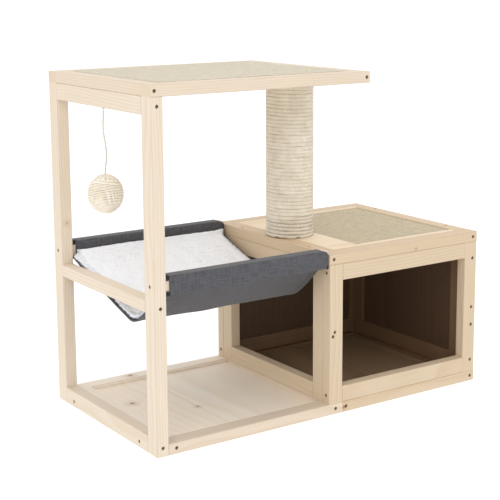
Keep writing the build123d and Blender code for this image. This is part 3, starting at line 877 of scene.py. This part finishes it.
def column_staples():
    """Staples of dark wire over the rope's first and last turns, each a U with its legs inward."""
    wire = 0.6 * MM
    half = 4 * MM
    leg = 4 * MM
    first_turn, last_turn = rope_low.z + 3 * MM, rope_high.z - 3 * MM
    staples = (
        ("column_staple_left", -157, first_turn),
        ("column_staple_front", -105, first_turn),
        ("column_staple_back", 60, first_turn),
        ("column_staple_top", -105, last_turn),
    )
    for name, degrees, height in staples:
        angle = math.radians(degrees)
        foot = by_column(column_radius - 0.2 * MM, angle, height)
        inward = Vector((-math.cos(angle), -math.sin(angle), 0)) * leg
        sideways = Vector((-math.sin(angle), math.cos(angle), 0)) * half
        corners = (
            foot - sideways + inward, foot - sideways, foot + sideways, foot + sideways + inward
        )
        bent = line_of(
            name + "_line", [(corner, 0.0) for corner in corners], "POLY", radius=wire, fineness=2
        )
        hand_over(into_mesh(bent, name), WIRE_FINISH, "root")

# ---- sisal mats


def sisal_mat(name, node, finish, seed):
    """A woven mat cut to its place: a low sheet with a soft rim and a slight wave."""
    low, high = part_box(node)
    middle, size = (low + high) / 2, high - low
    play = 0.4 * MM
    cells = 96
    bpy.ops.mesh.primitive_grid_add(x_subdivisions=cells, y_subdivisions=cells, size=1.0)
    mat = bpy.context.object
    mat.name = name
    for vertex in mat.data.vertices:
        x = middle.x + vertex.co.x * (size.x - play)
        y = middle.y + vertex.co.y * (size.y - play)
        rim = min(x - low.x, high.x - x, y - low.y, high.y - y)
        fall = 1.3 * MM * held(1 - rim / (5 * MM)) ** 2
        wave = 0.45 * MM * waver(x * 14, y * 14, seed)
        vertex.co = (x, y, high.z - 0.5 * MM - fall + wave)
    thick = mat.modifiers.new("thick", "SOLIDIFY")
    thick.thickness = size.z - 2 * MM
    thick.offset = -1.0
    apply_modifiers(mat)
    smooth(mat, 50)
    hand_over(mat, finish, "root", node)

# ---- the hammock

CLOTH = 1.3 * MM
SLAT_GAP = 0.4 * MM
WRAP_GAP = SLAT_GAP + CLOTH / 2
SAG_LOW = Vector((0.0, sling_low.y + 113.8 * MM, 201 * MM))
SAG_ROUND = 13 * MM
SAG_FRONT_POWER = 1.3
SAG_BACK_POWER = 1.05
NOTCH_LONG = 8 * MM
NOTCH_TALL = 20 * MM
HEM_WIDE = 10 * MM
# Thickness of the near-black tabs that are painted shadow at the sleeves' ends.
SHADOW_TAB_THICK = 0.6 * MM
slat_bottom, slat_top = front_slat[0].z, front_slat[1].z
slat_middle = (slat_bottom + slat_top) / 2
front_face, back_face = front_slat[1].y, back_slat[0].y


def sag_height(y):
    """Height of the hammock's cloth between its slats, rounded off at its lowest line."""
    front_y, back_y = front_face + WRAP_GAP, back_face - WRAP_GAP
    under = slat_bottom - WRAP_GAP

    def straight(at):
        if at < SAG_LOW.y:
            share = held((SAG_LOW.y - at) / (SAG_LOW.y - front_y))
            return SAG_LOW.z + (under - SAG_LOW.z) * share ** SAG_FRONT_POWER
        share = held((at - SAG_LOW.y) / (back_y - SAG_LOW.y))
        return SAG_LOW.z + (under + 3 * MM - SAG_LOW.z) * share ** SAG_BACK_POWER

    reach = SAG_ROUND * held(1 - abs(y - SAG_LOW.y) / (2 * SAG_ROUND))
    return (straight(y - reach) + straight(y + reach) + straight(y) * 2) / 4


def divided(line, step):
    """The same line with points no further apart than one step."""
    made = [line[0]]
    for (y0, z0), (y1, z1) in zip(line, line[1:]):
        count = max(1, math.ceil(math.hypot(y1 - y0, z1 - z0) / step))
        made += list(zip(even(y0, y1, count), even(z0, z1, count)))[1:]
    return made


def round_slat(slat, lift=0.0):
    """The cloth's line from a slat's inner lower corner, up, over and down to its underside."""
    low, high = slat
    gap = WRAP_GAP + lift
    bend = 1.8 * MM
    inner, outer = high.y + gap - bend, low.y - gap + bend
    bottom, top = low.z - gap + bend, high.z + gap - bend
    line = [(inner + bend, bottom - bend + 5 * MM)]
    for (y, z), start in (((inner, top), 0), ((outer, top), 90), ((outer, bottom), 180)):
        for angle in even(math.radians(start), math.radians(start + 90), 4):
            line.append((y + bend * math.cos(angle), z + bend * math.sin(angle)))
    return line


def sling_line():
    """The cloth's whole section: hem, front sleeve, sag, back sleeve and hem, in Y and Z."""
    back_middles = back_slat[0].y + back_slat[1].y
    back = [(back_middles - y, z) for y, z in reversed(round_slat(back_slat))]
    sag = [(y, sag_height(y)) for y in even(front_face + 2 * MM, back_face - 2 * MM, 44)]
    front_flap, back_flap = [
        [(y, z + 1.5 * MM) for y, z in part] for part in (sag[3:0:-1], sag[-2:-5:-1])
    ]
    return divided(front_flap + round_slat(front_slat) + sag + back + back_flap, 6 * MM)


def strip(name, line, x_low, x_high, thick, finish, columns=1, shape=None, opening=None):
    """A sheet that follows a line in Y and Z, from one X to another, with a thickness."""
    mesh = bmesh.new()
    flat = mesh.loops.layers.uv.new("cut")
    run = [0.0]
    for (y0, z0), (y1, z1) in zip(line, line[1:]):
        run.append(run[-1] + math.hypot(y1 - y0, z1 - z0))
    rows = []
    for y, z in line:
        row = []
        for x in even(x_low, x_high, columns):
            place = Vector((x, y, z))
            row.append(mesh.verts.new(shape(place) if shape else place))
        rows.append(row)
    for step in range(len(rows) - 1):
        for column in range(columns):
            corners = (
                (step, column), (step, column + 1), (step + 1, column + 1), (step + 1, column)
            )
            middle = sum((rows[r][c].co for r, c in corners), Vector()) / 4
            if opening and opening(*middle):
                continue
            face = mesh.faces.new([rows[r][c] for r, c in corners])
            for loop, (r, _) in zip(face.loops, corners):
                loop[flat].uv = (loop.vert.co.x, run[r])
    piece = from_bmesh(name, mesh)
    solid = piece.modifiers.new("thick", "SOLIDIFY")
    solid.thickness = thick
    solid.offset = 0.0
    apply_modifiers(piece)
    smooth(piece, 50)
    hand_over(piece, finish, "root")
    return piece


def cloth_shape(place):
    """Small folds in the cloth, and its right ends cut back round each slat's top corner."""
    x, y, z = place
    cut_back = 11 * MM * held((z - slat_top + 6 * MM) / (7.2 * MM)) ** 3
    share = (x - sling_low.x) / (sling_high.x - sling_low.x)
    x -= cut_back * max(0.0, (share - 0.9) / 0.1)
    if z < slat_bottom - 1.5 * MM:
        open_air = held((slat_bottom - z) / (25 * MM))
        fold = waver(x * 34, y * 6, 2.0) * 0.9 * MM
        broad = waver(x * 9, y * 5, 4.0) * 2.2 * MM
        z += (fold + broad) * open_air
    else:
        low, high = front_slat if y < SAG_LOW.y else back_slat
        pull = waver(x * 40, z * 12, y * 3) * 0.35 * MM + 0.12 * MM
        y += math.copysign(max(pull, -0.1 * MM), y - (low.y + high.y) / 2)
    return Vector((x, y, z))


def in_notch(x, y, z):
    """True in the cut that bares a slat's left end on the front face of its sleeve."""
    on_front = any(slat[0].y - 3 * MM < y < slat[0].y for slat in (front_slat, back_slat))
    near_end = x < sling_low.x + NOTCH_LONG
    return on_front and near_end and abs(z - slat_middle) < NOTCH_TALL / 2


def hammock_shadow_tabs(name, slat):
    """Painted shadow: near-black tabs on a sleeve's ends, above and below its notch and at its
    right end, where the gaps lie in shade.
    """
    wrap = divided(round_slat(slat, lift=0.95 * MM), 2.5 * MM)
    edge = NOTCH_TALL / 2 - 1 * MM
    upper = [(y, z) for y, z in wrap if z > slat_middle + edge]
    lower = [(y, z) for y, z in wrap if z < slat_middle - edge and y < slat[0].y + 8 * MM]
    corner = [(y, z) for y, z in wrap if z < slat_middle - 10 * MM]
    left, notch_end = sling_low.x + 0.1 * MM, sling_low.x + NOTCH_LONG - 0.4 * MM
    parts = (
        ("upper", upper, left, notch_end),
        ("lower", lower, left, notch_end + 1.5 * MM),
        ("right", corner, sling_high.x - 3.2 * MM, sling_high.x - 0.2 * MM),
    )
    return [
        strip(f"hammock_shadow_tab_{name}_{part}", run, x_low, x_high, SHADOW_TAB_THICK, SHADOW_TAB)
        for part, run, x_low, x_high in parts
    ]


def hammock_hem(name, line, x_low):
    """The turned edge of the cloth on one side of the sag, under the cloth."""
    sag = [(y, z) for y, z in line if z < slat_bottom - 7 * MM]
    folded = [cloth_shape(Vector((x_low, y, z))) for y, z in sag]
    hem = [(place.y, place.z - CLOTH * 0.78) for place in folded]
    return strip("hammock_hem_" + name, hem, x_low, x_low + HEM_WIDE, CLOTH * 0.5, CANVAS, 3)


def hammock_stitches():
    """Grey thread along each sleeve's seam, a short raised stitch every few millimetres."""
    mesh = bmesh.new()
    pitch = 3.6 * MM
    half_stitch = Matrix.Diagonal((1.25 * MM, 0.35 * MM, 0.3 * MM, 1))
    count = int((sling_high.x - sling_low.x - 24 * MM) / pitch)
    seam_z = slat_bottom - SLAT_GAP - CLOTH - 0.1 * MM
    for seam_y in (front_face - 17 * MM, back_face + 17 * MM):
        for step in range(count):
            middle = Vector((sling_low.x + 14 * MM + step * pitch, seam_y, seam_z))
            place = Matrix.Translation(middle) @ half_stitch
            bmesh.ops.create_icosphere(mesh, subdivisions=1, radius=1.0, matrix=place)
    stitches = from_bmesh("hammock_stitches", mesh)
    smooth(stitches, 60)
    hand_over(stitches, grey_thread(), "root")
    return stitches


def hammock_sling():
    """The grey cloth: a sleeve round each slat, and the sag between them, all in one sheet."""
    line = sling_line()
    cloth = strip(
        "hammock_cloth", line, sling_low.x, sling_high.x, CLOTH, CANVAS,
        columns=84, shape=cloth_shape, opening=in_notch,
    )
    extras = [
        *hammock_shadow_tabs("front", front_slat),
        *hammock_shadow_tabs("back", back_slat),
        hammock_hem("left", line, sling_low.x + 0.2 * MM),
        hammock_hem("right", line, sling_high.x - HEM_WIDE - 0.2 * MM),
        hammock_stitches(),
    ]
    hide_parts("hammock_sling")

# ---- the hammock's lining


def lining_rest(x, y):
    """Height of what the lining lies on: the cloth, and its hem near each slat."""
    near_slat = y < front_face + 26 * MM or y > back_face - 26 * MM
    hem = 1.5 * MM if near_slat else 0.0
    return cloth_shape(Vector((x, y, sag_height(y)))).z + CLOTH / 2 + hem


def lining_top(x):
    """How high the lining's turned-up edge reaches on the back sleeve, lower at the left."""
    share = (x - lining_low.x) / (lining_high.x - lining_low.x)
    return slat_top - 9.5 * MM - 6 * MM * max(0.0, 1 - share / 0.35)


def lining_end(x):
    """How far that place is from the lining's nearer end."""
    return min(x - lining_low.x, lining_high.x - x)


def lining_slab():
    """The pad before it is filled: a slab along the sag, its back edge turned up."""
    under, over = 2.4 * MM, 7.6 * MM
    wall = back_face - SLAT_GAP - CLOTH - 1.4 * MM
    bend = wall - 5.5 * MM
    turned_up = slat_top - 11 * MM
    lift = 0.2 * MM
    section = [
        ((y, sag_height(y) + under), (y, sag_height(y) + over))
        for y in even(front_face + 9 * MM, bend, 40)
    ]
    section += [
        ((wall, sag_height(wall) + under + lift), (bend, sag_height(bend) + over + lift)),
        ((wall, turned_up), (bend, turned_up)),
    ]
    left, right = lining_low.x - 2.5 * MM, lining_high.x - 1.5 * MM
    mesh = bmesh.new()
    rings = []
    for low, high in section:
        corners = ((left, *low), (right, *low), (right, *high), (left, *high))
        rings.append([mesh.verts.new(corner) for corner in corners])
    for one, other in zip(rings, rings[1:]):
        for side in range(4):
            after = (side + 1) % 4
            mesh.faces.new((one[side], one[after], other[after], other[side]))
    mesh.faces.new(reversed(rings[0]))
    mesh.faces.new(rings[-1])
    bmesh.ops.recalc_face_normals(mesh, faces=mesh.faces)
    return from_bmesh("hammock_plush_lining", mesh)


def swell(pad):
    """Fills a remeshed pad by cloth pressure, and holds back any place that moves too far."""
    most = 4 * MM
    last_frame = 20
    before = [vertex.co.copy() for vertex in pad.data.vertices]
    cloth = pad.modifiers.new("swell", "CLOTH")
    settings = cloth.settings
    settings.use_pressure = True
    settings.uniform_pressure_force = 4.0
    settings.tension_stiffness = 12
    settings.compression_stiffness = 12
    settings.bending_stiffness = 0.4
    settings.mass = 0.2
    settings.effector_weights.gravity = 0.0
    cloth.point_cache.frame_start = 1
    cloth.point_cache.frame_end = last_frame
    for step in range(1, last_frame + 1):
        scene.frame_set(step)
    make_active(pad)
    bpy.ops.object.modifier_apply(modifier="swell")
    scene.frame_set(1)
    for vertex, start in zip(pad.data.vertices, before):
        move = vertex.co - start
        if move.length > most:
            vertex.co = start + move.normalized() * most


def lining_folds(pad):
    """Wrinkles across the lining and lumps along its ends, above where it lies."""
    wall = back_face - SLAT_GAP - CLOTH - 0.6 * MM
    for vertex in pad.data.vertices:
        x, y, z = vertex.co
        flat_y = min(max(y, lining_low.y - 8 * MM), wall)
        rest = lining_rest(x, flat_y) + 0.3 * MM
        wrinkle = abs(waver(x * 6, y * 24, 1.0)) * 0.8 * MM
        lump = waver(x * 45, y * 45, z * 45) * 0.7 * MM
        end = lining_end(x)
        puff = max(0.0, 1 - end / (24 * MM)) * 1.6 * MM
        z += held((z - rest) / (5 * MM)) * (lump + puff - wrinkle)
        side = max(0.0, 1 - end / (12 * MM))
        x += side * waver(3.0, y * 90, z * 80) * 1.8 * MM
        if y > wall - 14 * MM:
            z = min(z, lining_top(x) + lump * 1.5)
            y += waver(x * 30, 5.0, z * 40) * 1.2 * MM
            turned_up = held((z - slat_bottom - 3 * MM) / (6 * MM))
            x = max(x, sling_low.x + (NOTCH_LONG + 1.5 * MM) * turned_up)
        x = min(max(x, sling_low.x + 0.1 * MM), sling_high.x - 0.6 * MM)
        vertex.co = (x, min(y, wall), max(z, rest))


def lining_tufts(pad):
    """Small tufts of pile that stand out of the lining, closest together at its ends."""
    luck = random.Random(31)
    mesh = bmesh.new()
    for face in pad.data.polygons:
        x, y, z = face.center
        lies = z < lining_rest(x, min(max(y, lining_low.y), lining_high.y)) + 2.4 * MM
        end = lining_end(x)
        likely = 0.85 if end < 12 * MM else 0.12
        if (lies and end > 6 * MM) or luck.random() > likely:
            continue
        lean = Vector((luck.uniform(-1, 1), luck.uniform(-1, 1), luck.uniform(-0.5, 0.5)))
        up = (face.normal + lean * 0.9).normalized()
        side = up.orthogonal().normalized()
        across = up.cross(side)
        tall = luck.uniform(1.8, 3.4) * MM
        thick = luck.uniform(0.5, 0.9) * MM
        foot = Vector(face.center) - up * 0.6 * MM
        tip = foot + up * tall
        past_an_end = not sling_low.x - 0.3 * MM < tip.x < sling_high.x - 0.2 * MM
        if past_an_end or tip.y > back_face - 2.2 * MM:
            continue
        ring = [
            mesh.verts.new(foot + (side * math.cos(turn) + across * math.sin(turn)) * thick)
            for turn in (0.0, FULL_TURN / 3, FULL_TURN * 2 / 3)
        ]
        top = mesh.verts.new(tip)
        mesh.faces.new(reversed(ring))
        for one, other in ((0, 1), (1, 2), (2, 0)):
            mesh.faces.new((ring[one], ring[other], top))
    pile = from_bmesh("hammock_plush_pile", mesh)
    smooth(pile, 180)
    hand_over(pile, PLUSH, "root")


def hammock_lining():
    """The white plush pad on the sling, swollen, creased and tufted."""
    pad = lining_slab()
    voxels = pad.modifiers.new("voxels", "REMESH")
    voxels.mode = "VOXEL"
    voxels.voxel_size = 4 * MM
    apply_modifiers(pad)
    swell(pad)
    finer = pad.modifiers.new("finer", "SUBSURF")
    finer.levels = 1
    finer.render_levels = 1
    apply_modifiers(pad)
    lining_folds(pad)
    smooth(pad, 180)
    hand_over(pad, PLUSH, "root", "hammock_lining")
    lining_tufts(pad)


toy_cord()
toy_knot()
toy_ball()
column_rope()
column_staples()
sisal_mat("platform_woven_mat", "platform_mat", PLATFORM_MAT, 1.0)
sisal_mat("top_woven_mat", "top_mat", TOP_MAT, 2.0)
hammock_sling()
hammock_lining()

# ---- floor, light


def studio_floor():
    """A wide white floor under the tree."""
    bpy.ops.mesh.primitive_plane_add(size=60.0)
    floor = bpy.context.object
    floor.name = "studio_floor"
    floor.data.materials.append(Finish(
        "studio_floor", roughness=0.9, Base_Color=srgb(205, 205, 206),
        Emission_Color=srgb(255, 255, 255), Emission_Strength=0.5,
    ).material)
    floor.visible_diffuse = False
    floor.visible_glossy = False


def front_light():
    """A soft square light in front of the tree, at its left, aimed at its middle."""
    data = bpy.data.lights.new("front_light", "AREA")
    data.size = 2.4
    data.energy = 34
    light = add_object("front_light", data)
    light.location = (-2.6, -2.6, 3.0)
    aim = Vector((0.0, 0.0, 0.3)) - light.location
    light.rotation_euler = aim.to_track_quat("-Z", "Y").to_euler()


def white_world():
    world = bpy.data.worlds.new("studio")
    scene.world = world
    world.use_nodes = True
    background = world.node_tree.nodes["Background"].inputs
    background["Color"].default_value = (1.0, 1.0, 1.0, 1.0)
    background["Strength"].default_value = 1.1


studio_floor()
front_light()
white_world()
scene.view_settings.view_transform = "Standard"
